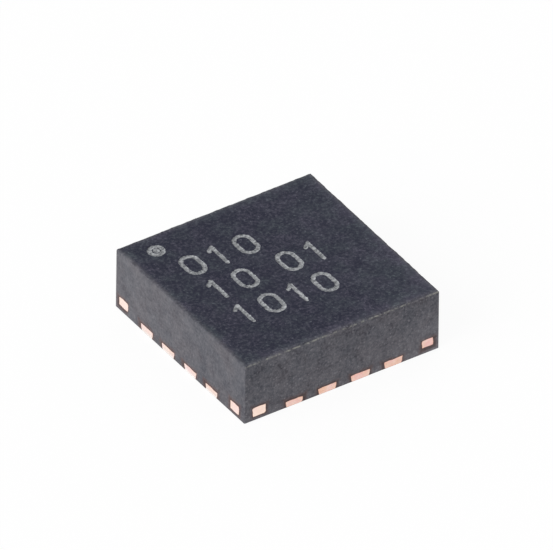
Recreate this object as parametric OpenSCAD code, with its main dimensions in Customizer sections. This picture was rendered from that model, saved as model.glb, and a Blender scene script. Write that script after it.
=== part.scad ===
// A 16-lead, 3 x 3 mm quad flat no-lead chip, sawn out of a moulded strip.
// Millimetres. The origin is the centre of the thermal pad's soldering face and +Z points
// through the marked top. +X is the reading direction of the marking. Pin 1 sits on the
// -X side at its +Y end, and the pins count anticlockwise as seen from the top.

/* [Moulded body] */
// Sawn size of the body along X
body_x = 3.00; // [2.90:0.01:3.10]
// Sawn size of the body along Y
body_y = 3.00; // [2.90:0.01:3.10]
// Height of the top above the soldering plane
body_top = 0.93; // [0.80:0.01:1.00]
// Height of the moulded underside above the soldering plane
standoff = 0.01; // [0.005:0.005:0.04]
// Shift of the saw cuts from the lead frame's centre along X
saw_x = -0.035; // [-0.05:0.005:0.05]
// Shift of the saw cuts from the lead frame's centre along Y
saw_y = -0.035; // [-0.05:0.005:0.05]
// Break of the sawn edges round the top
edge_break = 0.025; // [0.005:0.005:0.04]
// Break of the four upright edges
corner_break = 0.015; // [0.005:0.005:0.03]

/* [Pin 1 mark] */
// Distance of the ring's centre from the -X side
mark_in_x = 0.41; // [0.30:0.01:0.60]
// Distance of the ring's centre from the +Y side
mark_in_y = 0.315; // [0.25:0.005:0.60]
// Outer radius of the ring
mark_outer = 0.118; // [0.09:0.002:0.15]
// Inner radius of the ring
mark_inner = 0.066; // [0.05:0.002:0.08]
// Radius of the dot inside the ring
mark_dot = 0.034; // [0.02:0.002:0.04]
// Depth of the laser mark
mark_depth = 0.012; // [0.005:0.001:0.03]

/* [Lead frame] */
// Thickness of the copper sheet
frame_t = 0.20; // [0.18:0.01:0.25]
// Thickness left where the sheet is half etched
etch_t = 0.10; // [0.08:0.01:0.12]
// Distance between neighbouring leads
pitch = 0.50; // [0.45:0.01:0.50]
// Width of a lead at half its thickness, where etching from both faces leaves it widest
lead_w = 0.295; // [0.26:0.005:0.32]
// Width of a land on the soldering face
land_w = 0.250; // [0.20:0.005:0.28]
// Width of a lead's bonding face
bond_w = 0.250; // [0.20:0.005:0.28]
// Length of a land, inwards from the nominal outline
land_l = 0.40; // [0.30:0.01:0.42]
// Inner lip of a lead that is half etched from below
lip_l = 0.06; // [0.04:0.01:0.08]
// Outer end of a lead that is half etched from above
tab_l = 0.12; // [0.08:0.01:0.16]
// Corner radius of a lead's inner end
lead_r = 0.10; // [0.06:0.01:0.12]

/* [Thermal pad] */
// Size of the exposed pad along X
pad_x = 1.60; // [1.45:0.01:1.62]
// Size of the exposed pad along Y
pad_y = 1.60; // [1.45:0.01:1.62]
// Half-etched rim round the pad that locks it into the moulding
pad_rim = 0.10; // [0.06:0.01:0.12]
// Corner radius of the pad
pad_r = 0.08; // [0.04:0.01:0.10]
// Chamfer of the pad's corner at pin 1
pad_chamfer = 0.20; // [0.12:0.01:0.30]
// Width of a tie bar on the diagonal
tie_w = 0.15; // [0.12:0.01:0.17]
// Thickness of a tie bar, where the narrow etched channel is a little shallower
tie_t = 0.12; // [0.10:0.01:0.14]
// Width of the two legs that a tie bar forks into
fork_w = 0.20; // [0.15:0.01:0.22]
// Distance of a fork leg's centre line from the nominal outline
fork_in = 0.20; // [0.17:0.01:0.24]

/* [Die and wires] */
// Size of the die along X
die_x = 1.20; // [1.00:0.01:1.40]
// Size of the die along Y
die_y = 1.20; // [1.00:0.01:1.40]
// Thickness of the die
die_t = 0.25; // [0.20:0.01:0.30]
// Thickness of the adhesive under the die
attach_t = 0.025; // [0.015:0.005:0.04]
// How far the adhesive squeezes out past the die
attach_out = 0.03; // [0.01:0.01:0.05]
// Distance of the bond balls from the die's edge
bond_in = 0.07; // [0.05:0.01:0.10]
// Distance between neighbouring bond balls
bond_pitch = 0.26; // [0.20:0.01:0.28]
// Diameter of the bonding wire
wire_d = 0.025; // [0.020:0.001:0.033]
// Diameter of a bond ball
ball_d = 0.06; // [0.045:0.001:0.07]
// Height of a bond ball
ball_h = 0.014; // [0.010:0.001:0.02]
// Height of a wire's loop above the die
loop_h = 0.14; // [0.12:0.01:0.18]
// Height of the taper from a ball to its wire
neck_h = 0.014; // [0.010:0.001:0.02]
// Radius of a wire's two bends
bend_r = 0.05; // [0.04:0.005:0.06]
// Distance of the stitch from the lead's inner tip
stitch_in = 0.10; // [0.08:0.01:0.14]
// Length of the flattened stitch
stitch_l = 0.05; // [0.03:0.005:0.07]

/* [Hidden] */
per_side = 4;
sides = 4;
lead_count = per_side * sides;

// How far the uncut strip runs past the sawn outline
overrun = 0.20;
// How far a finger's outline lies outside its etched section
etch_margin = 0.01;
// Chords in a quarter of a round corner, and round the pin 1 mark
corner_steps = 6;
mark_steps = 48;

die_bottom = frame_t + attach_t;
die_top = die_bottom + die_t;

// Section of a bonding wire, the chords in its bends, and its flattened stitch
wire_r = wire_d / 2;
wire_sides = 6;
bend_steps = 4;
stitch_flat = 0.35;
stitch_spread = 1.6;

mould_colour = [0.25, 0.25, 0.28];
copper_colour = [0.86, 0.62, 0.47];
silicon_colour = [0.45, 0.46, 0.52];
adhesive_colour = [0.72, 0.72, 0.70];
gold_colour = [0.93, 0.75, 0.30];

// A pin's side, its place along that side, and the body's nominal half width there
function side(n) = floor((n - 1) / per_side);
function step(n) = (n - 1) % per_side - (per_side - 1) / 2;
function across(n, along_x, along_y) = side(n) % 2 == 0 ? along_x : along_y;
function half_body(n) = across(n, body_x, body_y) / 2;
function half_die(n) = across(n, die_x, die_y) / 2;

function arc(centre, r, from, to, steps) =
    [for (i = [0:steps]) let (a = from + (to - from) * i / steps) centre + r * [cos(a), sin(a)]];

// Turns a shape that points along +X to face out of pin n's side
module facing(n) {
    rotate([0, 0, 180 + 90 * side(n)])
        children();
}

// The block that the saw leaves, from its underside up, with its edges broken
module sawn_block(bottom) {
    translate([saw_x, saw_y, 0])
        intersection() {
            translate([0, 0, bottom])
                linear_extrude(body_top + overrun - bottom)
                    sawn_outline();
            rotate([90, 0, 0])
                linear_extrude(body_y + 2 * overrun, center = true)
                    roof_section(body_x);
            rotate([90, 0, 90])
                linear_extrude(body_x + 2 * overrun, center = true)
                    roof_section(body_y);
        }
}

module sawn_outline() {
    x = body_x / 2;
    y = body_y / 2;
    c = corner_break;
    polygon([
        [x, y - c], [x - c, y], [c - x, y], [-x, y - c],
        [-x, c - y], [c - x, -y], [x - c, -y], [x, c - y]
    ]);
}

// The space under the top and its sloping breaks, which run on past the sides
module roof_section(w) {
    out = w / 2 + overrun;
    flat = w / 2 - edge_break;
    eaves = body_top - edge_break - overrun;
    polygon([
        [-out, -2 * overrun], [out, -2 * overrun], [out, eaves],
        [flat, body_top], [-flat, body_top], [-out, eaves]
    ]);
}

module disc(r, h) {
    linear_extrude(h)
        polygon(arc([0, 0], r, 0, 360 * (1 - 1 / mark_steps), mark_steps - 1));
}

// The ring and dot that a laser burns beside pin 1
module pin_mark() {
    translate([saw_x - body_x / 2 + mark_in_x, saw_y + body_y / 2 - mark_in_y, body_top - mark_depth]) {
        difference() {
            disc(mark_outer, 2 * mark_depth);
            translate([0, 0, -mark_depth])
                disc(mark_inner, 4 * mark_depth);
        }
        disc(mark_dot, 2 * mark_depth);
    }
}

// A finger of the lead frame: an etched section with sloping sides, round at its inner end
module finger(inner, outer, bottom, top, low_w, high_w) {
    w = lead_w / 2 + etch_margin;
    intersection() {
        translate([0, 0, bottom - overrun])
            linear_extrude(top - bottom + 2 * overrun)
                polygon(concat(
                    [[outer + overrun, -w], [outer + overrun, w]],
                    arc([inner + lead_r, w - lead_r], lead_r, 90, 180, corner_steps),
                    arc([inner + lead_r, lead_r - w], lead_r, 180, 270, corner_steps)
                ));
        rotate([90, 0, 90])
            linear_extrude(outer)
                polygon([[-low_w / 2, bottom], [low_w / 2, bottom], [high_w / 2, top], [-high_w / 2, top]]);
    }
}

// A lead before it is sawn: the land below, and the inner lip and bonding face above
module lead_blank(n) {
    nominal = half_body(n);
    facing(n)
        translate([0, step(n) * pitch, 0]) {
            finger(nominal - land_l, nominal + overrun, 0, etch_t, land_w, lead_w);
            finger(nominal - land_l - lip_l, nominal - tab_l, etch_t, frame_t, lead_w, bond_w);
        }
}

module lead(n) {
    color(copper_colour)
        intersection() {
            lead_blank(n);
            sawn_block(-overrun);
        }
}

// Outline of the pad with three round corners, and a chamfer at pin 1
module pad_outline(x, y, chamfer) {
    polygon(concat(
        arc([x / 2 - pad_r, y / 2 - pad_r], pad_r, 0, 90, corner_steps),
        [[chamfer - x / 2, y / 2], [-x / 2, y / 2 - chamfer]],
        arc([pad_r - x / 2, pad_r - y / 2], pad_r, 180, 270, corner_steps),
        arc([x / 2 - pad_r, pad_r - y / 2], pad_r, 270, 360, corner_steps)
    ));
}

// A tie bar from the pad out to the corner, forked so that the body's corner stays whole
module tie_bar(to_x, to_y) {
    x = body_x / 2 - fork_in;
    y = body_y / 2 - fork_in;
    rotate(atan2(to_y * y, to_x * x))
        translate([0, -tie_w / 2])
            square([norm([x, y]), tie_w]);
    fork_leg([to_x * x, to_y * y], 90 - to_x * 90);
    fork_leg([to_x * x, to_y * y], to_y * 90);
}

module fork_leg(from, turn) {
    translate(from)
        rotate(turn)
            translate([-fork_w / 2, -fork_w / 2])
                square([fork_w / 2 + fork_in + overrun, fork_w]);
}

// The pad, its locking rim and its four tie bars, before sawing
module paddle_blank() {
    linear_extrude(etch_t)
        pad_outline(pad_x, pad_y, pad_chamfer);
    translate([0, 0, etch_t])
        linear_extrude(frame_t - etch_t)
            pad_outline(pad_x + 2 * pad_rim, pad_y + 2 * pad_rim, pad_chamfer);
    translate([0, 0, frame_t - tie_t])
        linear_extrude(tie_t)
            for (to_x = [-1, 1], to_y = [-1, 1])
                tie_bar(to_x, to_y);
}

module die_paddle() {
    color(copper_colour)
        intersection() {
            paddle_blank();
            sawn_block(-overrun);
        }
}

module slab(x, y, bottom, top) {
    translate([-x / 2, -y / 2, bottom])
        cube([x, y, top - bottom]);
}

module die_attach() {
    color(adhesive_colour)
        slab(die_x + 2 * attach_out, die_y + 2 * attach_out, frame_t, die_bottom);
}

module die() {
    color(silicon_colour)
        slab(die_x, die_y, die_bottom, die_top);
}

// Rings of a wire in its own upright plane: distance, height, slope and two half widths.
// It leaves the ball straight up, bends over and drops along the tangent of its two bends.
function wire_rings(span) =
    let (
        over = [bend_r, die_top + loop_h - bend_r],
        foot = [span, frame_t + wire_r + bend_r],
        apart = foot - over,
        drop = asin(2 * bend_r / norm(apart)) - atan2(apart[1], apart[0]),
        ball_r = ball_d / 2,
        first = arc(over, bend_r, 180, 90 - drop, bend_steps),
        second = arc(foot, bend_r, 270 - drop, 270, bend_steps)
    )
    concat(
        [[0, die_top, 90, ball_r, ball_r]],
        [[0, die_top + ball_h, 90, ball_r, ball_r]],
        [[0, die_top + ball_h + neck_h, 90, wire_r, wire_r]],
        [for (i = [0:bend_steps])
            [first[i][0], first[i][1], 90 - (90 + drop) * i / bend_steps, wire_r, wire_r]],
        [for (i = [0:bend_steps])
            [second[i][0], second[i][1], drop * (i / bend_steps - 1), wire_r, wire_r]],
        [[span + stitch_l, frame_t + wire_r * stitch_flat, 0, wire_r * stitch_flat, wire_r * stitch_spread]]
    );

// The corners of one ring, with flat sides above and below
function ring_points(ring) =
    [for (k = [0:wire_sides - 1])
        let (
            a = (k + 0.5) * 360 / wire_sides,
            up = ring[3] * cos(a) / cos(180 / wire_sides),
            out = ring[4] * sin(a)
        )
        [ring[0] - up * sin(ring[2]), out, ring[1] + up * cos(ring[2])]];

// The faces between rows of corners, two triangles to a side, and one face at each end
function tube_faces(rows) = concat(
    [[for (k = [0:wire_sides - 1]) k]],
    [for (j = [0:rows - 2], k = [0:wire_sides - 1])
        let (a = j * wire_sides, b = (k + 1) % wire_sides)
        [a + k, a + wire_sides + k, a + wire_sides + b]],
    [for (j = [0:rows - 2], k = [0:wire_sides - 1])
        let (a = j * wire_sides, b = (k + 1) % wire_sides)
        [a + k, a + wire_sides + b, a + b]],
    [[for (k = [wire_sides - 1:-1:0]) (rows - 1) * wire_sides + k]]
);

module wire_solid(n) {
    from = [half_die(n) - bond_in, step(n) * bond_pitch];
    to = [half_body(n) - land_l - lip_l + stitch_in, step(n) * pitch];
    run = to - from;
    rings = wire_rings(norm(run));
    facing(n)
        translate(from)
            rotate(atan2(run[1], run[0]))
                polyhedron(
                    points = [for (ring = rings) each ring_points(ring)],
                    faces = tube_faces(len(rings))
                );
}

module wire(n) {
    color(gold_colour)
        wire_solid(n);
}

// The compound fills the block round everything that it holds
module mould_body() {
    color(mould_colour)
        difference() {
            sawn_block(standoff);
            pin_mark();
            paddle_blank();
            slab(die_x + 2 * attach_out, die_y + 2 * attach_out, frame_t, die_bottom);
            slab(die_x, die_y, die_bottom, die_top);
            for (n = [1:lead_count]) {
                lead_blank(n);
                wire_solid(n);
            }
        }
}

mould_body();
die_paddle();
die_attach();
die();
for (n = [1:lead_count]) {
    lead(n);
    wire(n);
}
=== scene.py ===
# %% [markdown]
# # A leadless chip, dressed in the order in which a factory makes it
# A chip package of this kind is a sheet of etched copper, a sliver of silicon and sixteen gold wires
# inside a block of black epoxy, sawn out of a large moulded panel. From outside only three things show:
# the epoxy, the copper that the saw went through, and the laser mark. The CAD solids already give every
# piece its size and place, so this lesson adds what a solid lacks: sawn edges, grain, colour and light.

# %% Load the packed solids
import math
import random

import bmesh
import bpy
from mathutils import Matrix, Vector


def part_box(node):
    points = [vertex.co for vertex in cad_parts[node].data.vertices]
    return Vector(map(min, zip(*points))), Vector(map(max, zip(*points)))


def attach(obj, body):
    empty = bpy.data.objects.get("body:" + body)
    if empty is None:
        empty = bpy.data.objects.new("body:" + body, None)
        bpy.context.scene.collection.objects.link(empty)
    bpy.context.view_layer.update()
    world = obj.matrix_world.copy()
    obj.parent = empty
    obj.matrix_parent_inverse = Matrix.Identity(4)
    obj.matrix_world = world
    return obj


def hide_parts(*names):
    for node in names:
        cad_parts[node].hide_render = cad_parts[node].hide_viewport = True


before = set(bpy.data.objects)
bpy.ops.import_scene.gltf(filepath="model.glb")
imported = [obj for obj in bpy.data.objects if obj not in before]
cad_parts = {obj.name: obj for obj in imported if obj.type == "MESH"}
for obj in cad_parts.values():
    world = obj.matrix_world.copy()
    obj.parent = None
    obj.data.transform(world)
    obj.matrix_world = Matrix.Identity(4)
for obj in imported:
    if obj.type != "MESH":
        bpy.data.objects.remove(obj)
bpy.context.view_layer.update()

# %% [markdown]
# ## Millimetres as a working unit
# The whole chip is 3 mm across and its edges are broken by a few hundredths. Blender's bevel, merge and
# boolean tools have built-in tolerances meant for things the size of furniture, so a bevel of 0.00003 m
# is close to nothing for them. Each piece is therefore modelled with one unit for one millimetre and
# brought down a thousand times when it is finished. The block's own box is measured here, because the
# four saw cuts that made its sides also end every piece of copper.

# %% Measure the sawn block
MM = 0.001
block_low, block_high = (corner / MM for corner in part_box("mould_body"))
block_mid = (block_low + block_high) / 2
HALF_SIDE = (block_high.x - block_low.x) / 2
TOP = block_high.z
print("block middle:", [round(v, 3) for v in block_mid])
print("half side:", round(HALF_SIDE, 3), "top:", round(TOP, 3))

# %% [markdown]
# ## The camera
# The picture was taken from far away with a long lens, so lines that are parallel on the chip stay
# parallel in the picture. A camera with a long lens could stand far off, but an orthographic camera does
# the same with fewer numbers. Its turn, height and slight roll come from the six corners of the block's
# outline, and its width is the picture's 553 pixels at 77.75 to the millimetre.

# %% Set up the camera
AZIMUTH = math.radians(-33.987)
ELEVATION = math.radians(37.118)
ROLL = math.radians(0.701)
PICTURE_WIDE = 553
PIXELS_PER_MM = 77.75
AIM_RIGHT = -0.0125
AIM_UP = 0.2982
AWAY = 20
back = Vector((
    math.sin(AZIMUTH) * math.cos(ELEVATION),
    -math.cos(AZIMUTH) * math.cos(ELEVATION),
    math.sin(ELEVATION),
))
level = Vector((math.cos(AZIMUTH), math.sin(AZIMUTH), 0))
upward = back.cross(level)
right = level * math.cos(ROLL) + upward * math.sin(ROLL)
up = upward * math.cos(ROLL) - level * math.sin(ROLL)
aim = block_mid + AIM_RIGHT * right + AIM_UP * up

bpy.ops.object.select_all(action="DESELECT")
bpy.ops.object.camera_add(location=(aim + AWAY * back) * MM)
camera = bpy.context.object
camera.rotation_euler = Matrix((right, up, back)).transposed().to_euler()
camera.data.type = "ORTHO"
camera.data.ortho_scale = PICTURE_WIDE / PIXELS_PER_MM * MM
camera.data.clip_start = 0.001
camera.data.clip_end = 1.0
bpy.context.scene.camera = camera
bpy.context.scene.view_settings.view_transform = "Standard"
print("camera width:", round(camera.data.ortho_scale / MM, 3), "mm")

# %% [markdown]
# ## Shader maths as plain sums
# A finish is a small machine of nodes, and drawing one link at a time hides what it works out. This class
# wraps the output of a node. Adding, multiplying or comparing two of them adds the Math node for it, so a
# mask can be written as `1 - grain * 0.3`. Every other node comes from `node`, which sets the node's
# choices first and then fills its sockets with numbers or links.

# %% Define the wrapper for node outputs
class Signal:
    """A value or a colour on its way through the nodes of one finish."""

    def __init__(self, tree, socket=None):
        self.tree = tree
        self.socket = socket

    def node(self, kind, settings=(), sockets=(), out=0):
        """Adds a node and gives one of its outputs."""
        made = self.tree.nodes.new("ShaderNode" + kind)
        for name, choice in dict(settings).items():
            setattr(made, name, choice)
        for key, value in dict(sockets).items():
            if isinstance(value, Signal):
                self.tree.links.new(value.socket, made.inputs[key])
            else:
                made.inputs[key].default_value = value
        return Signal(self.tree, made.outputs[out] if made.outputs else None)

    def other(self, out):
        """Another output of the node that this signal comes from."""
        return Signal(self.tree, self.socket.node.outputs[out])

    def maths(self, operation, *values):
        """A Math node on signals and numbers."""
        return self.node("Math", {"operation": operation}, enumerate(values))

    def __add__(self, term):
        return self.maths("ADD", self, term)

    def __sub__(self, term):
        return self.maths("SUBTRACT", self, term)

    def __rsub__(self, term):
        return self.maths("SUBTRACT", term, self)

    def __mul__(self, term):
        return self.maths("MULTIPLY", self, term)

    def __gt__(self, term):
        return self.maths("GREATER_THAN", self, term)

    def __lt__(self, term):
        return self.maths("LESS_THAN", self, term)

    def __abs__(self):
        return self.maths("ABSOLUTE", self)

    __radd__ = __add__
    __rmul__ = __mul__


print("reflected operators:", sorted(name for name in vars(Signal) if name.startswith("__r")))

# %% [markdown]
# ## A white table
# The chip lies on a white surface. A plain sheet would do for the picture, but it would hide the soldering
# side from below, so the floor has a window just under the chip. A small square is added, its edges are
# extruded far outward, and its middle is deleted. `only` and `choose` do in code what a click does by
# hand: they select one piece, or those of its points, edges or faces that pass a test.

# %% Build the floor
WINDOW_IN = 0.03
FLOOR_DOWN = 0.001
FLOOR_SPREAD = 40


def only(piece):
    """Closes edit mode and makes one piece the only thing that the next operator acts on."""
    if bpy.context.mode != "OBJECT":
        bpy.ops.object.mode_set(mode="OBJECT")
    bpy.ops.object.select_all(action="DESELECT")
    piece.select_set(True)
    bpy.context.view_layer.objects.active = piece


def choose(piece, kind, test):
    """Opens a piece in edit mode with only the vertices, edges or faces that pass the test selected."""
    only(piece)
    bpy.ops.object.mode_set(mode="EDIT")
    bpy.ops.mesh.select_mode(type=kind)
    bpy.ops.mesh.select_all(action="DESELECT")
    mesh = bmesh.from_edit_mesh(piece.data)
    parts = {"VERT": mesh.verts, "EDGE": mesh.edges, "FACE": mesh.faces}[kind]
    found = [part for part in parts if test(part)]
    for part in found:
        part.select_set(True)
    mesh.select_flush_mode()
    bmesh.update_edit_mesh(piece.data)
    return len(found)


def settle():
    """Moves the selected piece's place, turn and size into its mesh, so that its object is at the origin."""
    bpy.ops.object.transform_apply(location=True, rotation=True, scale=True)


bpy.ops.object.select_all(action="DESELECT")
bpy.ops.mesh.primitive_plane_add(
    size=2 * (HALF_SIDE - WINDOW_IN), location=(block_mid.x, block_mid.y, -FLOOR_DOWN))
floor = bpy.context.object
floor.name = "floor"
settle()
choose(floor, "EDGE", lambda edge: True)
bpy.ops.mesh.extrude_edges_move()
bpy.ops.transform.resize(
    value=(FLOOR_SPREAD, FLOOR_SPREAD, 1), center_override=(block_mid.x, block_mid.y, 0))
choose(floor, "FACE", lambda face: face.calc_area() < 4 * HALF_SIDE ** 2)
bpy.ops.mesh.delete(type="FACE")
choose(floor, "FACE", lambda face: face.normal.z < 0)
bpy.ops.mesh.flip_normals()
only(floor)
floor.scale = (MM, MM, MM)
settle()
print("floor faces:", len(floor.data.polygons), "all up:", all(p.normal.z > 0.9 for p in floor.data.polygons))

# %% [markdown]
# ## White that keeps a shadow
# In the picture the table is as white as white can be, while lit paint would come out light grey. More
# light would bleach the chip as well, so a camera ray finds mostly a plain white glow on the floor, mixed
# with a lit white that still takes the chip's shadow. Reflections find the same white. From below the
# floor is clear, as a glass table is, so that the soldering side can be looked at too.

# %% Paint the floor white, with room for a shadow
FLOOR_WHITE = 0.95
GLOW_SHARE = 0.93


def new_finish(name):
    """A new material with no nodes, and the signal that adds them."""
    finish = bpy.data.materials.new(name)
    finish.use_nodes = True
    finish.node_tree.nodes.clear()
    return finish, Signal(finish.node_tree)


def rays_that_see(paint):
    """The rays that look at something: from the camera, off a gloss, or through something clear."""
    rays = paint.node("LightPath")
    return [rays.other(name) for name in ("Is Camera Ray", "Is Glossy Ray", "Is Transmission Ray")]


white, paint = new_finish("white_table")
direct, mirrored, through = rays_that_see(paint)
lit = paint.node("BsdfDiffuse", (), {"Color": (FLOOR_WHITE, FLOOR_WHITE, FLOOR_WHITE, 1)})
glow = paint.node("Emission", (), {"Color": (1, 1, 1, 1), "Strength": 1.0})
top_side = paint.node("MixShader", (), {0: direct * GLOW_SHARE + mirrored + through, 1: lit, 2: glow})
beneath = paint.node("NewGeometry", out="Backfacing")
clear = paint.node("BsdfTransparent")
both_sides = paint.node("MixShader", (), {0: beneath, 1: top_side, 2: clear})
paint.node("OutputMaterial", (), {"Surface": both_sides})
floor.data.materials.append(white)
print("floor nodes:", len(white.node_tree.nodes))

# %% [markdown]
# ## Light
# The left side of the chip is brighter than the right one, and nothing shows a hard shadow: one large
# soft lamp stands on the left, a faint one behind, and a white room fills the rest. A sun lamp with a wide
# angle does this at any size of object, which a lamp of a few millimetres would not. Strengths are chosen
# so that a level white surface comes out just white, and a colour is seen about as it is written.

# %% Light the room
ROOM_LIGHT = 0.45
LAMP_AWAY = 0.05
LAMPS = (
    ("left_softbox", (-0.84, -0.10, 0.53), 2.45, 50),
    ("back_softbox", (0.55, 0.60, 0.58), 0.65, 70),
)
room = bpy.data.worlds.new("white_room")
bpy.context.scene.world = room
room.use_nodes = True
room.node_tree.nodes.clear()
paint = Signal(room.node_tree)
direct, mirrored, through = rays_that_see(paint)
strength = ROOM_LIGHT + (1 - ROOM_LIGHT) * (direct + mirrored + through)
sky = paint.node("Background", (), {"Color": (1, 1, 1, 1), "Strength": strength})
paint.node("OutputWorld", (), {"Surface": sky})

for name, source, power, spread in LAMPS:
    bpy.ops.object.light_add(type="SUN", location=Vector(source) * LAMP_AWAY)
    lamp = bpy.context.object
    lamp.name = name
    lamp.rotation_euler = Vector(source).to_track_quat("Z", "Y").to_euler()
    lamp.data.energy = power
    lamp.data.angle = math.radians(spread)
    print(name, "adds", round(power / math.pi * source[2], 2), "of white to a level surface")

# %% [markdown]
# ## The lead frame's copper
# Sixteen leads and the paddle with its forked tie bars were etched from one copper sheet. They could be
# modelled anew, but their CAD solids have the right shape already. So each is copied, its loose triangles
# are merged and its flat faces are made whole, which gives the saw in the next steps clean ends to work on.

# %% Copy the copper
MERGE = 0.0001
FLAT_WITHIN = math.radians(0.5)


def copy_of(node, name):
    """A separate copy of a CAD solid in millimetres, with its triangles merged into flat faces."""
    piece = bpy.data.objects.new(name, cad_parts[node].data.copy())
    bpy.context.scene.collection.objects.link(piece)
    piece.data.materials.clear()
    only(piece)
    piece.scale = (1 / MM, 1 / MM, 1 / MM)
    settle()
    choose(piece, "VERT", lambda vert: True)
    bpy.ops.mesh.remove_doubles(threshold=MERGE)
    bpy.ops.mesh.dissolve_limited(angle_limit=FLAT_WITHIN)
    only(piece)
    return piece


LEADS = ["lead_%d" % i for i in range(1, 17)]
copper = {node: copy_of(node, "sawn_" + node) for node in LEADS + ["die_paddle"]}
print("copper pieces:", len(copper), "faces of a lead:", len(copper["lead_1"].data.polygons))

# %% [markdown]
# ## What the saw does to copper
# Copper is soft, so the blade drags it. Each cut end has rounded corners and a ragged outline, and each of
# its edges is smeared by its own amount. A bevel would make every end alike, so the points of the end are
# moved instead: it is divided, its corners are smoothed, and its points are shaken, pressed flat into the
# saw's plane again and dragged. Its lower edge is lifted almost level with the block's foot. An inset then
# leaves a narrow rim, where the metal was pressed into the epoxy, round a bright face.

# %% Define the saw's work on one end
SIDES = [Vector(side) for side in ((-1, 0, 0), (0, -1, 0), (1, 0, 0), (0, 1, 0))]
UP = Vector((0, 0, 1))
AT_SAW = 0.0005
END_REACH = 0.2
ROUNDED = 0.28
RAGGED = 0.008
OFF_MIDDLE = 0.015
LIFTED = 0.009
RIM = 0.003


def at_cut(side, point):
    """Whether a point lies in the plane of one of the four saw cuts."""
    return point.dot(side) > block_mid.dot(side) + HALF_SIDE - AT_SAW


def saw_end(piece, side, middle, drag, seed):
    """Works on the end whose middle is given, and drags its left, right, top and bottom outward."""
    right_hand = UP.cross(side)
    flat = {"value": [1 - abs(part) for part in side], "center_override": block_mid + HALF_SIDE * side}

    def here(point):
        return at_cut(side, point) and abs((point - middle).dot(right_hand)) < END_REACH

    corners = [vert.co.copy() for vert in bmesh.from_edit_mesh(piece.data).verts if here(vert.co)]
    choose(piece, "FACE", lambda face: all(here(vert.co) for vert in face.verts))
    bpy.ops.mesh.subdivide(number_cuts=3)
    choose(piece, "VERT", lambda vert: vert.co in corners)
    bpy.ops.mesh.vertices_smooth(factor=ROUNDED)
    bpy.ops.transform.resize(**flat)
    choose(piece, "VERT", lambda vert: here(vert.co))
    bpy.ops.transform.vertex_random(offset=RAGGED, seed=seed)
    bpy.ops.transform.resize(**flat)
    for outward, move in zip((-right_hand, right_hand, UP, -UP), drag):
        choose(piece, "VERT", lambda vert: here(vert.co) and (vert.co - middle).dot(outward) > OFF_MIDDLE)
        bpy.ops.transform.translate(value=outward * move)
    choose(piece, "VERT", lambda vert: here(vert.co) and vert.co.z < LIFTED)
    bpy.ops.transform.resize(value=(1, 1, 0), center_override=(0, 0, LIFTED))
    choose(piece, "FACE", lambda face: all(here(vert.co) for vert in face.verts))
    bpy.ops.mesh.inset(thickness=RIM, use_boundary=True)
    mesh = bmesh.from_edit_mesh(piece.data)
    for face in mesh.faces:
        face.material_index = max(face.material_index, int(face.select))
    bmesh.update_edit_mesh(piece.data)
    choose(piece, "FACE", lambda face: any(here(vert.co) for vert in face.verts))
    bpy.ops.mesh.quads_convert_to_tris()


print("an end is shaken by up to", RAGGED, "mm")

# %% [markdown]
# ## Six sawn ends on each side
# A side shows four leads and two prongs of the forked tie bars. A cut across the copper just inside its end
# keeps the saw's work in the last hundredths of a millimetre. One drag for all ends would look stamped, so
# the ends on the two near sides have theirs written down, as left, right, top and bottom. The others draw
# theirs from a seeded generator, which makes the same chip at every run.

# %% Saw the ends
BURR = 0.014
SEEN = {
    "lead_1": [(-0.021, 0.012, 0.016, 0)],
    "lead_2": [(-0.006, 0.010, 0.010, 0)],
    "lead_3": [(-0.029, 0.024, 0.010, 0)],
    "lead_4": [(-0.019, 0.011, 0.004, 0)],
    "lead_5": [(0.008, -0.022, 0.000, 0)],
    "lead_6": [(0.005, -0.008, 0.009, 0)],
    "lead_7": [(-0.001, 0.011, 0.009, 0)],
    "lead_8": [(-0.011, 0.014, 0.017, 0)],
    "die_paddle": [
        (-0.019, 0.024, 0.018, -0.006),
        (-0.004, 0.004, -0.003, 0.021),
        (0.010, -0.007, 0.010, 0.016),
        (-0.004, -0.022, 0.021, -0.022),
    ],
}
draw = random.Random(16)
sawn_ends = 0
for number, (node, piece) in enumerate(copper.items()):
    drags = iter(SEEN.get(node, ()))
    for turn, side in enumerate(SIDES):
        choose(piece, "FACE", lambda face: True)
        bpy.ops.mesh.bisect(plane_co=block_mid + (HALF_SIDE - BURR) * side, plane_no=side)
        mesh = bmesh.from_edit_mesh(piece.data)
        ends = [face.calc_center_median() for face in mesh.faces
                if all(at_cut(side, vert.co) for vert in face.verts)]
        for end in sorted(ends, key=UP.cross(side).dot):
            sideways = draw.uniform(-0.015, 0.02)
            unseen = (-sideways, sideways, draw.uniform(0.0, 0.02), 0.0)
            saw_end(piece, side, end, next(drags, unseen), 10 * number + turn)
        sawn_ends += len(ends)
    only(piece)
print("sawn ends:", sawn_ends, "lowest point:", min(v.co.z for p in copper.values() for v in p.data.vertices))

# %% [markdown]
# ## The moulded block
# The block is one piece of epoxy, poured round the copper as a panel and sawn to size. Its top edges are
# broken, because the blade tore at them, and its four upright edges, where two cuts cross, are almost
# sharp. The CAD solid could be copied here too, but a fresh cube of its size has no triangles in the way,
# and two bevels of different widths give both kinds of edge.

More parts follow.
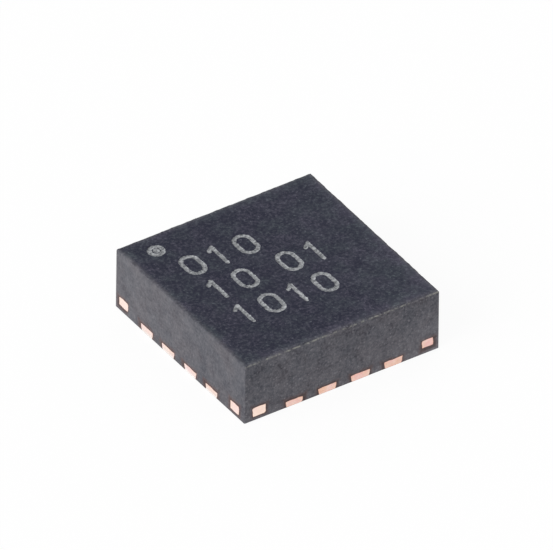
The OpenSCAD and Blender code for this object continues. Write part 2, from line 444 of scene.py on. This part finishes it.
# %% Saw the block
EDGE_BREAK = 0.032
CORNER_BREAK = 0.012
UPRIGHT = 0.5
bpy.ops.object.select_all(action="DESELECT")
bpy.ops.mesh.primitive_cube_add(size=1, location=block_mid, scale=block_high - block_low)
block = bpy.context.object
block.name = "moulded_block"
settle()
rims = choose(block, "EDGE", lambda edge: all(v.co.z > TOP - AT_SAW for v in edge.verts))
bpy.ops.mesh.bevel(offset=EDGE_BREAK, segments=3, affect="EDGES")
uprights = choose(block, "EDGE", lambda edge: abs(edge.verts[0].co.z - edge.verts[1].co.z) > UPRIGHT)
bpy.ops.mesh.bevel(offset=CORNER_BREAK, segments=2, affect="EDGES")
only(block)
print("edges broken:", rims, "on top,", uprights, "upright")

# %% [markdown]
# ## A chipped edge
# Along the top the blade pulled single beads of filler out whole, so the broken edge glints unevenly. Bump
# in the material would leave its outline straight. The sloping faces are therefore cut into short lengths
# and the points inside the break are shaken. Points that have left the block are pressed back into its
# faces, so that its size stays, and triangles keep the shaken faces flat.

# %% Chip the broken edge
CHIPS = 64
CHIPPED = 0.007
INSIDE = 0.001
for axis in (Vector((1, 0, 0)), Vector((0, 1, 0))):
    for step in range(1, CHIPS):
        choose(block, "FACE", lambda face: 0.1 < face.normal.z < 0.95)
        place = block_mid + axis * HALF_SIDE * (2 * step / CHIPS - 1)
        bpy.ops.mesh.bisect(plane_co=place, plane_no=axis)


def in_break(point):
    """Whether a point lies on the broken edge, and neither on a sawn side nor on the top."""
    off_saw = HALF_SIDE - max(abs(point.x - block_mid.x), abs(point.y - block_mid.y))
    return off_saw > INSIDE and TOP - EDGE_BREAK + INSIDE < point.z < TOP - INSIDE


loose = choose(block, "VERT", lambda vert: in_break(vert.co))
bpy.ops.transform.vertex_random(offset=CHIPPED, seed=4)
for side in SIDES + [UP]:
    face_at = block_mid + Vector(a * b for a, b in zip(side, (block_high - block_low) / 2))
    if choose(block, "VERT", lambda vert: (vert.co - face_at).dot(side) > 0):
        bpy.ops.transform.resize(value=[1 - abs(part) for part in side], center_override=face_at)
choose(block, "FACE", lambda face: 0.001 < face.normal.z < 0.999)
bpy.ops.mesh.quads_convert_to_tris()
only(block)
print("shaken points:", loose, "box:", [round(v, 4) for v in block.dimensions])

# %% [markdown]
# ## Epoxy round the copper
# The epoxy flowed round everything inside it, so the block is a casting with the shape of each piece left
# in it. A boolean cut with a copy of each piece does the same. Where copper ends flush with the sawn side
# the copy is extruded outward first, because a cut between two faces in one plane is a coin toss.

# %% Cut the copper, the die and the wires out of the block
PULL = 0.05
SEALED = ["die_attach", "die"] + ["wire_%d" % i for i in range(1, 17)]


def cut(piece, tool, crossing=False):
    """Takes the tool's shape out of a piece, and the tool away. A tool whose parts cross says so."""
    only(piece)
    bpy.ops.object.modifier_add(type="BOOLEAN")
    boolean = piece.modifiers[-1]
    boolean.object = tool
    boolean.operation = "DIFFERENCE"
    boolean.solver = "EXACT"
    boolean.use_self = crossing
    bpy.ops.object.modifier_apply(modifier=boolean.name)
    bpy.data.objects.remove(tool)


for piece in copper.values():
    tool = bpy.data.objects.new("tool", piece.data.copy())
    bpy.context.scene.collection.objects.link(tool)
    for side in SIDES:
        if choose(tool, "FACE", lambda face: all(at_cut(side, vert.co) for vert in face.verts)):
            bpy.ops.mesh.extrude_region_move()
            bpy.ops.transform.translate(value=side * PULL)
    cut(block, tool)
for node in SEALED:
    cut(block, copy_of(node, "tool"))

mesh = bmesh.new()
mesh.from_mesh(block.data)
print("block faces:", len(mesh.faces), "open edges:", sum(not e.is_manifold for e in mesh.edges),
      "volume:", round(mesh.calc_volume(), 4), "cubic mm")
mesh.free()

# %% [markdown]
# ## The laser mark
# A laser burns a shallow groove into the epoxy and leaves it pale. Blender's text could be cut in, but its
# strokes have no round ends and no slope. Here a stroke is a sphere whose two halves are pulled apart, and
# a ring treated so becomes a narrow nought. Both are flattened, and three quarters of their height stand
# out of the top, so that the groove has sloping sides. Long faces are divided, which gives the shaking
# below something to move. The text here is plain noughts and ones.

# %% Shape the strokes
STROKE = 0.070
DEPTH = 0.012
CAP = 0.450
NOUGHT_WIDE = 0.302
FLAG = 0.09
FLAG_TURN = -0.85
FLAG_DOWN = 0.04
LONG_EDGE = 0.06
SHORT_EDGE = 0.03
RING_STEPS = 36
# A flattened tool is narrower where it meets the top than at its middle, and this makes up for it.
SPREAD = 2 / math.sqrt(3)


def pull_apart(piece, length):
    """Moves the two halves of a round shape apart along Y, and divides the straight stretch between them."""
    for half in (-1, 1):
        choose(piece, "VERT", lambda vert: vert.co.y * half > 0)
        bpy.ops.transform.translate(value=(0, half * length / 2, 0))
    if choose(piece, "EDGE", lambda edge: edge.calc_length() > LONG_EDGE):
        bpy.ops.mesh.subdivide(number_cuts=round(length / SHORT_EDGE))
    only(piece)


def flatten(piece, width):
    """Presses a stroke flat, to cut a groove of the given width at the top and of the laser's depth."""
    piece.scale.z = 4 * DEPTH / (SPREAD * width)
    piece.location.z = DEPTH
    settle()
    return piece


def bar(length, width=STROKE):
    """One straight stroke of the laser, round at both ends."""
    bpy.ops.object.select_all(action="DESELECT")
    bpy.ops.mesh.primitive_uv_sphere_add(
        segments=12, ring_count=7, radius=SPREAD * width / 2, rotation=(math.pi / 2, 0, 0))
    settle()
    pull_apart(bpy.context.object, length)
    return flatten(bpy.context.object, width)


def loop(middle, width, length=0.0):
    """A ring of the laser, pulled long if it has a length."""
    bpy.ops.object.select_all(action="DESELECT")
    bpy.ops.mesh.primitive_torus_add(
        major_segments=RING_STEPS, minor_segments=10, major_radius=middle,
        minor_radius=SPREAD * width / 2, rotation=(0, 0, math.pi / RING_STEPS))
    settle()
    pull_apart(bpy.context.object, length)
    return flatten(bpy.context.object, width)


stem = bar(CAP - STROKE)
flag = bar(FLAG)
flag.rotation_euler.z = FLAG_TURN
flag.location = (-FLAG / 2, CAP / 2 - STROKE / 2 - FLAG_DOWN, 0)
settle()
nought = loop((NOUGHT_WIDE - STROKE) / 2, STROKE, CAP - NOUGHT_WIDE)
strokes = {"0": [nought], "1": [stem, flag]}
print("faces:", {digit: [len(stroke.data.polygons) for stroke in made] for digit, made in strokes.items()})

# %% [markdown]
# ## Where the marks stand
# Three lines of marks stand at one pitch, with a wider gap in the second, and a ring with a dot points to
# lead 1. Each sign is a copy of the shapes above. Its points are shaken, because the laser burns one bead
# of filler and misses the next. Cutting sign by sign would take a boolean for each, so all strokes are joined
# into one tool and cut into the top in one go.

# %% Burn the marks into the top
COLUMNS = (-0.86, -0.45, -0.04, 0.37)
ROWS = (
    (0.677, "010", COLUMNS[:3]),
    (0.077, "1001", (COLUMNS[0], COLUMNS[1], 0.23, 0.64)),
    (-0.542, "1010", COLUMNS),
)
RING_AT = (-1.09, 1.185)
RING_OUT = 0.125
RING_IN = 0.052
DOT = 0.053
SHAKEN = 0.005
strokes["ring"] = [loop((RING_OUT + RING_IN) / 2, RING_OUT - RING_IN), bar(0.0, 2 * DOT)]
places = [(digit, x, y) for y, digits, row in ROWS for digit, x in zip(digits, row)] + [("ring", *RING_AT)]
burnt_in = []
for kind, x, y in places:
    for stroke in strokes[kind]:
        sign = bpy.data.objects.new("sign", stroke.data.copy())
        bpy.context.scene.collection.objects.link(sign)
        choose(sign, "VERT", lambda vert: True)
        bpy.ops.transform.vertex_random(offset=SHAKEN, seed=len(burnt_in))
        bpy.ops.mesh.quads_convert_to_tris()
        bpy.ops.transform.translate(value=(block_mid.x + x, block_mid.y + y, TOP))
        burnt_in.append(sign)
only(burnt_in[0])
for sign in burnt_in:
    sign.select_set(True)
bpy.ops.object.join()
cut(block, burnt_in[0], crossing=True)
for stroke in sum(strokes.values(), []):
    bpy.data.objects.remove(stroke)
print("signs:", len(places), "block faces:", len(block.data.polygons))
print("highest point:", max(v.co.z for v in block.data.vertices))

# %% [markdown]
# ## Moulding compound
# The black epoxy is about nine tenths glass beads of 10 to 60 thousandths of a millimetre. The mould
# pressed the top smooth, so a skin of resin hides the beads there and only fine specks show. The saw went
# through the beads on the sides, which are therefore lighter and coarser. An image would need a mapping for
# each face. A pattern in all three directions is cut by a side as the beads are, so it needs none. The
# masks made here say how sawn a point is, and how deep below the top.

# %% Mix the compound
def place_in_mm(paint):
    """The point on the piece in millimetres, and its three numbers."""
    point = paint.node("TexCoord", out="Object")
    point = paint.node("VectorMath", {"operation": "SCALE"}, {0: point, "Scale": 1 / MM})
    parts = paint.node("SeparateXYZ", (), {0: point})
    return point, [parts.other(axis) for axis in "XYZ"]


def rise(value, low, high):
    """0 below the low number, 1 above the high one, and a soft step between."""
    ends = {"Value": value, "From Min": low, "From Max": high}
    return value.node("MapRange", {"interpolation_type": "SMOOTHSTEP"}, ends)


def noise(point, scale, detail, rough):
    """Clouds at about this many to the millimetre."""
    return point.node("TexNoise", (), {"Vector": point, "Scale": scale, "Detail": detail, "Roughness": rough})


def tint(factor, first, second):
    """A colour between two others, either of which may be written or worked out."""
    colours = [c if isinstance(c, Signal) else (*c, 1) for c in (first, second)]
    return factor.node("Mix", {"data_type": "RGBA"}, {0: factor, 6: colours[0], 7: colours[1]}, out=2)


compound, paint = new_finish("moulding_compound")
point, (x, y, z) = place_in_mm(paint)
across = paint.maths("MAXIMUM", abs(x - block_mid.x), abs(y - block_mid.y))
depth = TOP - z
fine = noise(point, 24, 2, 0.75)
coarse = noise(point, 4.5, 3, 0.9)
ragged = across + 0.05 * (coarse - 0.5)
at_rim = across > HALF_SIDE - 0.04
on_side = rise(ragged, HALF_SIDE - 0.08, HALF_SIDE + 0.03)
sawn = paint.maths("MAXIMUM", on_side, rise(depth, 0.004, 0.020) * at_rim)
print("compound: masks for the sawn sides and the depth below the top")

# %% [markdown]
# ## The moulded top
# The top is nearly black resin with a dust of fine grey specks. One flat colour would look like paint. So
# fine noise gives the specks, a coarser one gathers them in clouds, and a slow drift turns them a little
# from violet to blue green. A painted sheen makes the top paler towards the right, most of all at the front
# corner there, and a painted highlight makes it paler along the edges.

# %% Colour the moulded top
RESIN = (0.0100, 0.0110, 0.0250)
VIOLET_SPECK = (0.099, 0.094, 0.129)
GREEN_SPECK = (0.083, 0.099, 0.112)
drift = rise(noise(point, 3.0, 2, 0.6), 0.3, 0.7)
patchy = noise(point, 5.5, 0, 0.5) - 0.5
specks = rise(noise(point, 30, 1, 0.5), 0.62, 0.80)
# Painted sheen: the top is painted paler towards the right, most at the front right corner.
painted_sheen = rise(x, -0.5, 1.4) * 0.09 + rise(x - y, 1.0, 2.8) * 0.07
# Painted highlight: the top is painted paler close to its edges.
painted_edge_highlight = rise(across, HALF_SIDE - 0.20, HALF_SIDE - 0.03)
speckled = rise(fine, 0.35, 1.0) * 0.95 + coarse * 0.5 + patchy * 0.2 + specks * 0.65
skin = tint(speckled + painted_sheen + painted_edge_highlight * 0.17 - 0.255, RESIN, tint(drift, VIOLET_SPECK, GREEN_SPECK))
print("top: specks over", len(compound.node_tree.nodes), "nodes so far")

# %% [markdown]
# ## The sawn sides
# Here the blade went through resin and beads alike. Cells of random paleness are the cut beads, noise is
# the grit between them, and noise that is stretched sideways leaves faint saw lines. A mask tells the sides
# that face along Y from those that face along X. On the Y sides the grain is stronger, partly as painted
# shade of its relief under raking light, and painted light from the white table makes them paler towards
# the foot and the right, with fine pale specks among it. A pale line under their top edge is partly chipped
# filler and partly a painted highlight. The X sides grow paler towards +Y. Two materials would meet in a
# hard line at the corner, so one material blends all of it.

# %% Colour the sawn sides
WARM_RESIN = (0.053, 0.049, 0.060)
COOL_RESIN = (0.047, 0.050, 0.064)
FILLER_X = (0.235, 0.230, 0.244)
FILLER_Y = (0.235, 0.230, 0.252)
CHIP_AND_HIGHLIGHT_PALE = (0.270, 0.270, 0.250)
beads = paint.node("TexVoronoi", (), {"Vector": point, "Scale": 22.0, "Randomness": 1.0})
bead_random = paint.node("SeparateColor", (), {0: beads.other("Color")})
bead = (1 - rise(beads, 0.15, 0.45)) * rise(bead_random, 0.20, 1.0)
stretched = paint.node("VectorMath", {"operation": "MULTIPLY"}, {0: point, 1: (2.5, 2.5, 26)})
streaks = noise(stretched, 1.0, 2, 0.6)
on_y_side = abs(y - block_mid.y) > abs(x - block_mid.x)
# The X sides grow paler towards +Y.
ramp_along_x_sides = rise(y, block_low.y, block_high.y) * 0.085 + 0.075
# Painted light: the Y sides are painted paler towards the foot and the right, as if lit from the white table,
# with fine pale specks.
painted_bounce_and_specks = rise(depth, 0.1, 0.7) * (0.10 + 0.13 * rise(x, -0.8, 1.4)) - 0.08 + specks * 0.5
painted_bounce_and_specks = painted_bounce_and_specks + (1 - rise(z, 0.05, 0.14)) * (0.13 + 0.20 * rise(x, -0.2, 1.2))
# On the Y sides the grain is stronger, partly as painted shade of its relief under raking light.
grit = rise(fine, 0.15, 1.0) * (0.32 + 0.20 * on_y_side) + bead * (0.20 + 0.14 * on_y_side)
grit = grit + coarse * (0.60 + 0.16 * on_y_side) + patchy * 0.20 + streaks * 0.18
paleness = grit + on_y_side * painted_bounce_and_specks + (1 - on_y_side) * ramp_along_x_sides - 0.30
filler = tint(on_y_side, FILLER_X, FILLER_Y)
sawn_colour = tint(paleness, tint(drift, WARM_RESIN, COOL_RESIN), filler)
# A pale line under the top edge of the Y sides: partly chipped filler, partly a painted highlight.
chip_and_highlight = rise(depth, 0.006, 0.012) * (1 - rise(depth, 0.020, 0.032)) * on_y_side * at_rim
chip_and_highlight = chip_and_highlight * rise(noise(point, 11, 2, 0.8), 0.40, 0.65)
body = tint(chip_and_highlight, tint(sawn, skin, sawn_colour), CHIP_AND_HIGHLIGHT_PALE)
print("sides: beads, grit and saw lines")

# %% [markdown]
# ## The seam round the copper
# Close round each copper end the epoxy is dark, partly resin-rich epoxy and partly painted shade along the
# joint, and a thin brown smear of copper lies on it a little further out. A mask for each end would repeat
# the same nodes many times. The leads stand at one pitch, so the remainder of a division by the pitch finds
# the nearest lead, and the larger of two distances draws a rectangle. Noise breaks the outline of the smear,
# which would look stamped without it.

# %% Darken the epoxy round the copper
PITCH = 0.50
LEAD_HALF = 0.1475
LEAD_HIGH = 0.11
FORK_AT = 1.30
FORK_HALF = 0.10
FORK_MID = 0.14
FORK_TALL = 0.07
COPPER_SMEAR = (0.150, 0.076, 0.060)
DARK_SEAM = (0.046, 0.026, 0.023)
along = paint.maths("MINIMUM", abs(x), abs(y))
off_lead = abs(paint.maths("MODULO", along, PITCH) - PITCH / 2) - LEAD_HALF
from_lead = paint.maths("MAXIMUM", off_lead, z - LEAD_HIGH)
from_fork = paint.maths("MAXIMUM", abs(along - FORK_AT) - FORK_HALF, abs(z - FORK_MID) - FORK_TALL)
from_copper = paint.maths("MINIMUM", from_lead + (along > 2 * PITCH), from_fork)
smeared = (1 - rise(from_copper + 0.12 * (coarse - 0.5), 0.0, 0.070)) * sawn * (0.6 + 0.8 * fine)
body = tint(smeared * 0.36, body, COPPER_SMEAR)
# Painted shade together with resin-rich epoxy: a dark band close round each copper end.
shade = (1 - rise(from_copper, 0.0, 0.034)) * sawn
body = tint(shade * 0.42, body, DARK_SEAM)
print("copper: a dark seam round", sawn_ends, "ends")

# %% [markdown]
# ## The burnt mark
# The laser burns the resin away and leaves pale, uneven ash in the groove. The groove's faces could have a
# material of their own, but its border would then be as sharp as the mesh. A mask by depth below the top
# lets the specks break it up. The same noises raise the bump, which is strong on the sides and faint on top.

# %% Colour the burnt mark and join the finish up
ASH_DARK = (0.115, 0.120, 0.130)
ASH_PALE = (0.474, 0.486, 0.501)
in_mark = (across < HALF_SIDE - 0.06) * (depth < 0.05)
burnt = rise(depth + 0.005 * (fine - 0.5), 0.001, 0.005) * in_mark
ash = tint(rise(fine, 0.20, 0.85) * 1.2 + coarse * 0.7 - 0.48, ASH_DARK, ASH_PALE)
height = fine * (0.25 + 0.75 * sawn) + bead * sawn * 0.4
surface = paint.node("BsdfPrincipled", (), {
    "Base Color": tint(burnt, body, ash),
    "Roughness": 0.62 + 0.2 * sawn,
    "Specular IOR Level": 0.12,
    "Normal": paint.node("Bump", (), {"Strength": 0.8, "Distance": 0.000010, "Height": height}),
})
paint.node("OutputMaterial", (), {"Surface": surface})
block.data.materials.clear()
block.data.materials.append(compound)
for face in block.data.polygons:
    face.material_index = 0
print("compound nodes:", len(compound.node_tree.nodes))

# %% [markdown]
# ## Copper that the saw went through
# Where the saw cut it the metal is fresh and pale, with fine lines along the blade's path, and its hue
# drifts a little from end to end. Near the foot the blade smeared a little tin from the soldering faces over
# every cut. On the left side, which faces the main lamp, the cut is painted much paler as painted light, and
# it is whitest at the foot, where the tin plating shows. The ends of the tie bars at the left carry a painted
# highlight. A pure metal would only mirror the white room, so this one is partly metallic and its own
# colour shows.

# %% Mix the fresh copper
PALE_WARM = (0.98, 0.77, 0.66)
PALE_ROSE = (0.98, 0.745, 0.70)
DEEP_WARM = (0.90, 0.47, 0.31)
DEEP_ROSE = (0.91, 0.46, 0.39)
TIN_AND_LIGHT_PALE = (0.70, 0.69, 0.69)
WHITE_TIN = (0.93, 0.92, 0.90)
HIGHLIGHT_COPPER = (1.0, 0.865, 0.775)
fresh, paint = new_finish("sawn_copper")
point, (x, y, z) = place_in_mm(paint)
stretched = paint.node("VectorMath", {"operation": "MULTIPLY"}, {0: point, 1: (4, 4, 90)})
lines = noise(stretched, 1.0, 2, 0.5)
patches = noise(point, 14, 2, 0.5)
hue = rise(noise(point, 6, 1, 0.5), 0.35, 0.65)
pale = tint(hue, PALE_WARM, PALE_ROSE)
deep = tint(hue, DEEP_WARM, DEEP_ROSE)
cut_colour = tint(lines * 0.5 + patches * 1.3 - 0.4, deep, pale)
low = 1 - rise(z, 0.03, 0.10)
on_left = x < block_low.x + 0.003
# Painted light on the left ends, which face the main lamp, with a little smeared tin near the foot of every
# end.
tin_and_painted_light = on_left * (0.42 + 0.15 * low) + low * 0.08
cut_colour = tint(tin_and_painted_light, cut_colour, TIN_AND_LIGHT_PALE)
tinned = on_left * (1 - rise(z, 0.012, 0.040)) * 0.7
cut_colour = tint(tinned, cut_colour, WHITE_TIN)
tie_end = (x < -1.1) * (abs(y) > 1.1)
# Painted highlight: the ends of the tie bars at the left are painted brighter and more metallic.
tie_end_highlight = tie_end * (0.65 - on_left * (0.15 + 0.30 * (y < 0)))
surface = paint.node("BsdfPrincipled", (), {
    "Base Color": tint(tie_end_highlight, cut_colour, HIGHLIGHT_COPPER),
    "Metallic": 0.6 + 0.35 * tie_end_highlight,
    "Roughness": 0.42 + 0.15 * lines,
    "Normal": paint.node("Bump", (), {"Strength": 0.4, "Distance": 0.000003, "Height": lines}),
})
paint.node("OutputMaterial", (), {"Surface": surface})
print("fresh copper nodes:", len(fresh.node_tree.nodes))

# %% [markdown]
# ## Copper under oxide and tin
# The rim and the hidden rest of the frame have a brown skin of oxide. The soldering faces were plated with
# dull tin before sawing, so the plating ends at the cut. Tin covers all the copper that stands below the
# block's foot, and a step by height finds it without picking faces. Two finishes share each piece: this
# one, and the fresh one on the faces that the inset marked.

# %% Mix the frame's copper and give the pieces both finishes
OXIDE_DARK = (0.30, 0.12, 0.07)
OXIDE_PALE = (0.62, 0.32, 0.22)
TIN_DARK = (0.55, 0.55, 0.53)
TIN_PALE = (0.78, 0.78, 0.76)
aged, paint = new_finish("frame_copper")
point, (x, y, z) = place_in_mm(paint)
plated = 1 - rise(z, 0.0092, 0.0102)
patches = noise(point, 9, 3, 0.6)
grain = noise(point, 60, 2, 0.6)
oxide = tint(patches, OXIDE_DARK, OXIDE_PALE)
tin = tint(grain * 0.6 + patches * 0.4, TIN_DARK, TIN_PALE)
surface = paint.node("BsdfPrincipled", (), {
    "Base Color": tint(plated, oxide, tin),
    "Metallic": 0.75,
    "Roughness": 0.38 + 0.2 * grain,
    "Normal": paint.node("Bump", (), {"Strength": 0.2, "Distance": 0.000002, "Height": grain}),
})
paint.node("OutputMaterial", (), {"Surface": surface})

for piece in copper.values():
    piece.data.materials.append(aged)
    piece.data.materials.append(fresh)
print("fresh faces on a lead:", sum(f.material_index for f in copper["lead_1"].data.polygons))

# %% [markdown]
# ## What the block hides
# The die, its adhesive and the gold wires can't be seen in a whole chip, but a cut-away of the model shows
# them. Their CAD solids have the right shape and stay, so only their finishes are made: grey silicon,
# cloudy silver-filled glue and gold. All three are one cloud between two colours, so one function makes them.

# %% Finish the die, the adhesive and the wires
def hidden_finish(name, dark, light, scale, metallic, rough):
    """A finish that is clouded between two colours, and rougher where it is light."""
    finish, paint = new_finish(name)
    point, _ = place_in_mm(paint)
    cloud = noise(point, scale, 3, 0.6)
    surface = paint.node("BsdfPrincipled", (), {
        "Base Color": tint(cloud, dark, light), "Metallic": metallic, "Roughness": rough + 0.2 * cloud})
    paint.node("OutputMaterial", (), {"Surface": surface})
    return finish


silicon = hidden_finish("polished_silicon", (0.10, 0.11, 0.13), (0.18, 0.19, 0.22), 6, 0.3, 0.12)
glue = hidden_finish("silver_glue", (0.35, 0.35, 0.34), (0.62, 0.62, 0.60), 40, 0.4, 0.45)
gold = hidden_finish("gold_wire", (0.78, 0.52, 0.16), (0.95, 0.70, 0.28), 50, 0.9, 0.18)
finishes = {"die": silicon, "die_attach": glue}
for node in SEALED:
    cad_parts[node].data.materials.clear()
    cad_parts[node].data.materials.append(finishes.get(node, gold))
print("CAD solids with a finish:", len(SEALED))

# %% [markdown]
# ## Back to metres
# Each finished piece is brought down to its true size about the origin, where its object stays, so that
# its place is in its mesh as a CAD solid's is. Smooth shading would bend the light over the long triangles
# of a flat face, so only the rounded breaks are smoothed, and what faces straight along an axis is shaded
# flat. A piece rides on the part's one body and stands for the solid that it was made from, which is hidden.

# %% Hand the pieces to the frame
SMOOTH_UNDER = math.radians(20)
STRAIGHT = 0.9999
for piece, node, slot in [(block, "mould_body", "mould_compound")] + [
        (copper[node], node, "lead_frame") for node in copper]:
    only(piece)
    piece.scale = (MM, MM, MM)
    settle()
    bpy.ops.object.shade_smooth_by_angle(angle=SMOOTH_UNDER)
    choose(piece, "FACE", lambda face: max(abs(part) for part in face.normal) > STRAIGHT)
    bpy.ops.mesh.faces_shade_flat()
    only(piece)
    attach(piece, "root")
    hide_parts(node)

# %% [markdown]
